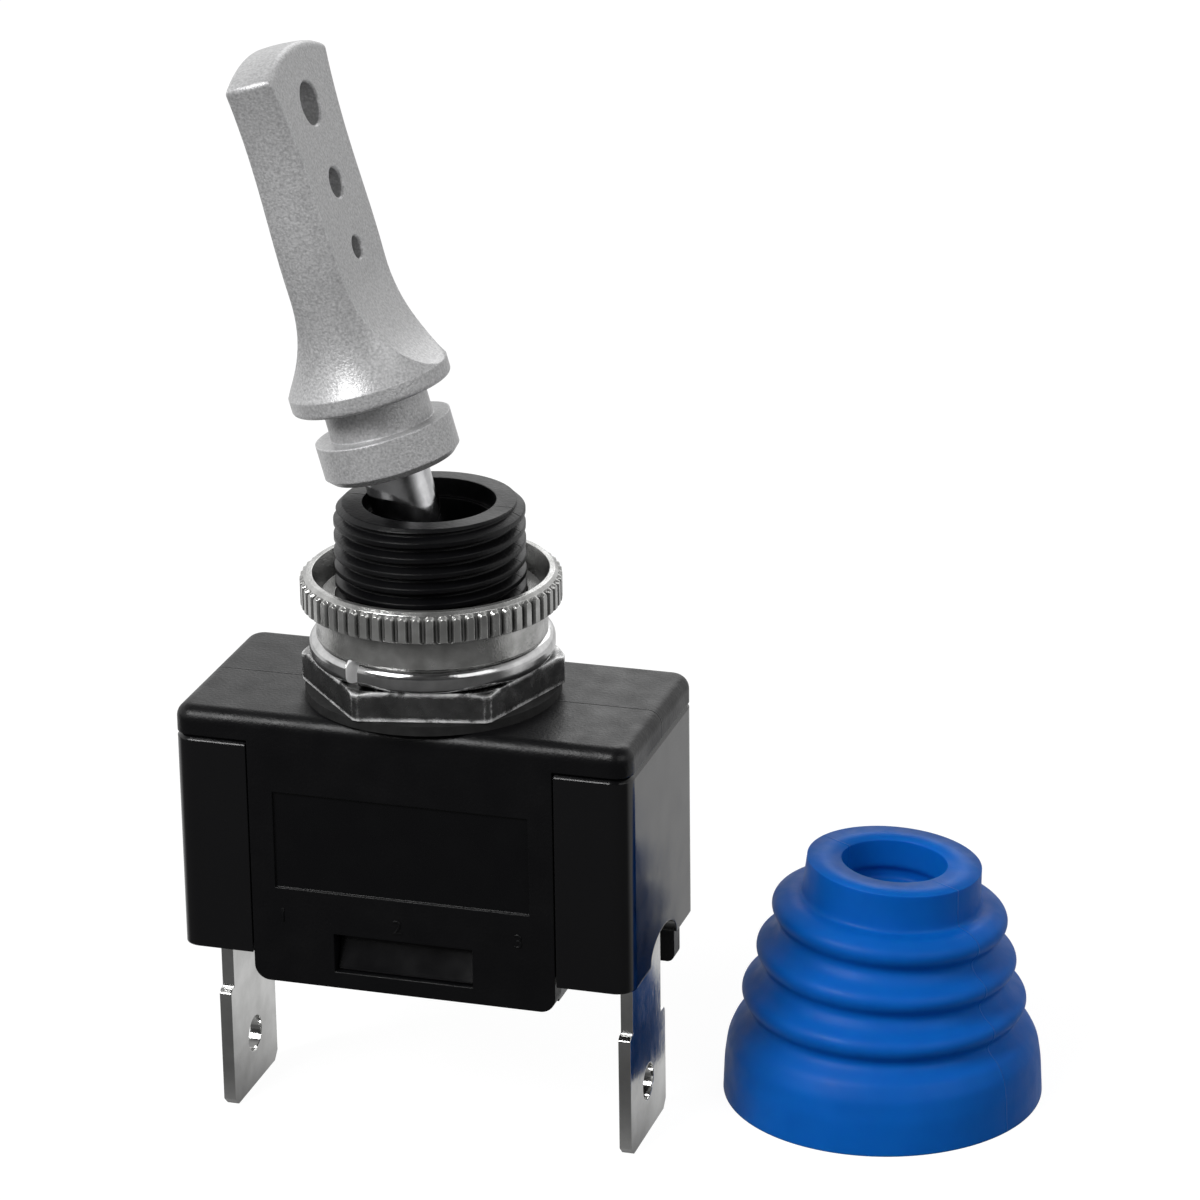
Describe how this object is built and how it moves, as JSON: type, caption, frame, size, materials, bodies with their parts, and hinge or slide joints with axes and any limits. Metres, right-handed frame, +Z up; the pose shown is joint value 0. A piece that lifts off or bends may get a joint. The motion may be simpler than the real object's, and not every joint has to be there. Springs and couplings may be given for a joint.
{
  "type": "panel toggle switch",
  "caption": "Panel toggle switch with a flat pierced paddle lever, a threaded bushing with nuts, two blade terminals, and its rubber bellows boot standing beside it.",
  "frame": {"origin": "on the bushing axis, in the flat top plane of the body", "axes": "+Z up along the bushing, +X along the body's length towards the on side, +Y to the back"},
  "size_m": [0.0521, 0.0292, 0.0703],
  "materials": {
    "cover_plastic": "matte",
    "base_plastic": "satin",
    "paddle_metal": "satin silver",
    "shaft_chrome": "polished",
    "steel": "satin",
    "nylon": "matte",
    "black_rubber": "matte",
    "dark_nickel": "polished",
    "bright_steel": "polished",
    "bright_nickel": "polished",
    "brass": "satin",
    "silver": "satin",
    "tin_plate": "bright",
    "fibre_card": "matte",
    "blue_rubber": "matte"
  },
  "bodies": {
    "case": {"cover_housing": "cover_plastic", "base_housing": "base_plastic", "pivot_pin": "steel", "ball_seat": "nylon", "lever_seal": "black_rubber", "seat_washer": "black_rubber", "hex_nut": "dark_nickel", "lock_washer": "bright_steel", "ring_nut": "bright_nickel", "terminal_left": "tin_plate", "terminal_right": "tin_plate", "fixed_contact": "silver", "rocker_cradle": "brass", "cradle_rivet": "brass", "rest_stop": "nylon", "barrier": "fibre_card", "arc_shield": "fibre_card", "boot": "blue_rubber"},
    "lever": {"paddle_handle": "paddle_metal", "lever_shaft": "shaft_chrome", "plunger_spring": "steel"},
    "plunger": {"plunger": "nylon"},
    "rocker": {"rocker": "brass", "moving_contact": "silver"}
  },
  "joints": [
    {"name": "lever_swing", "type": "hinge", "parent": "case", "child": "lever", "pos_m": [0, 0, 0.0066], "axis": [0, 1, 0], "range_deg": [0, 31]},
    {"name": "rocker_tip", "type": "hinge", "parent": "case", "child": "rocker", "pos_m": [0, 0, -0.00697], "axis": [0, 1, 0], "range_deg": [-11, 0]},
    {"name": "plunger_slide", "type": "slide", "parent": "lever", "child": "plunger", "axis": [0.2672, 0, -0.9636], "range_m": [0, 0.0004], "stiffness_N_per_m": 30, "springref_m": 0.0004}
  ],
  "couplings": [
    {"joint": "rocker_tip", "follows": "lever_swing", "ratio": -0.35484}
  ]
}
